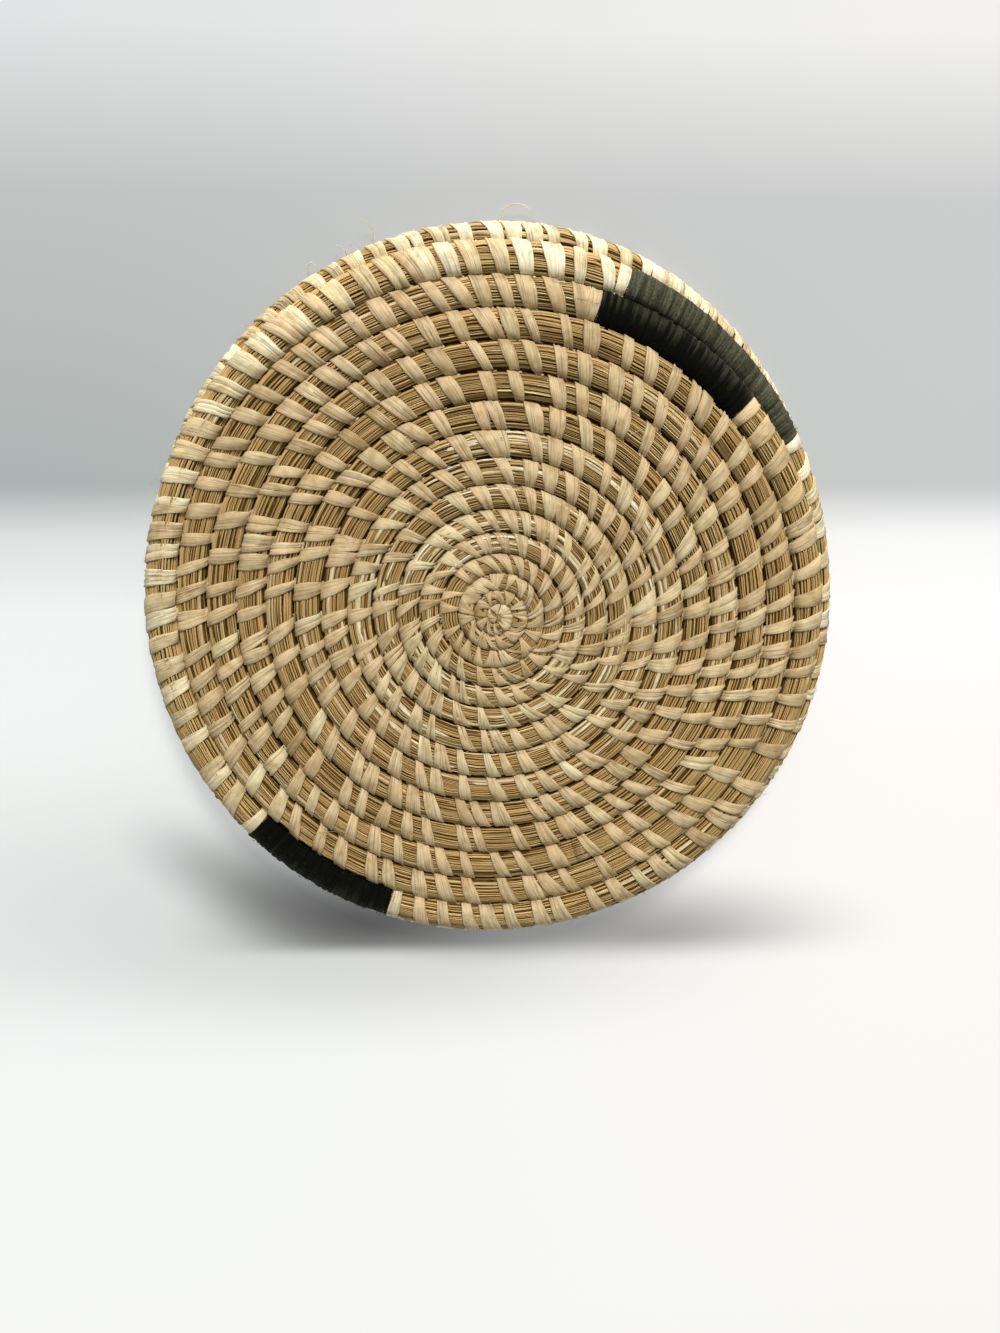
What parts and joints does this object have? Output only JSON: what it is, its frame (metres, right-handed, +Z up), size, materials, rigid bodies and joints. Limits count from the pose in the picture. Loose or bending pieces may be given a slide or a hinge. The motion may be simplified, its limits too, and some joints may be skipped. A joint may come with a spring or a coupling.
{
  "type": "coiled basket",
  "caption": "Round open basket with a flat base and a slightly flared wall, wound from one grass coil sewn with pale leaf strips, with blocks wrapped in black fibre.",
  "frame": {"origin": "on the ground under the middle of the basket; the knot that the coil starts from is 3.3 mm towards -X of it", "axes": "+Z up through the open mouth; the coil winds anticlockwise outwards seen from above, and its first end faces +Y"},
  "size_m": [0.2317, 0.2237, 0.0864],
  "materials": {
    "grass_coil": "dry grass stems, matt, oversewn with pale leaf strips",
    "rim_coil": "dry grass stems, matt, oversewn closely",
    "leaf_strip": "pale dry leaf strip, faint sheen along the grain",
    "black_fibre": "dyed fibre wound closely, matt and slightly fuzzy"
  },
  "bodies": {
    "root": {"centre_knot": "leaf_strip", "base_coil": "grass_coil", "corner_coil": "grass_coil", "wall_coil": "grass_coil", "rim_coil": "rim_coil", "black_wrap_1a_lower": "black_fibre", "black_wrap_1a_upper": "black_fibre", "black_wrap_1b_lower": "black_fibre", "black_wrap_1b_upper": "black_fibre", "black_wrap_2a_lower": "black_fibre", "black_wrap_2a_upper": "black_fibre", "black_wrap_2b_lower": "black_fibre", "black_wrap_2b_upper": "black_fibre", "black_wrap_3a_lower": "black_fibre", "black_wrap_3a_upper": "black_fibre", "black_wrap_3b_lower": "black_fibre", "black_wrap_3b_upper": "black_fibre"}
  },
  "joints": []
}
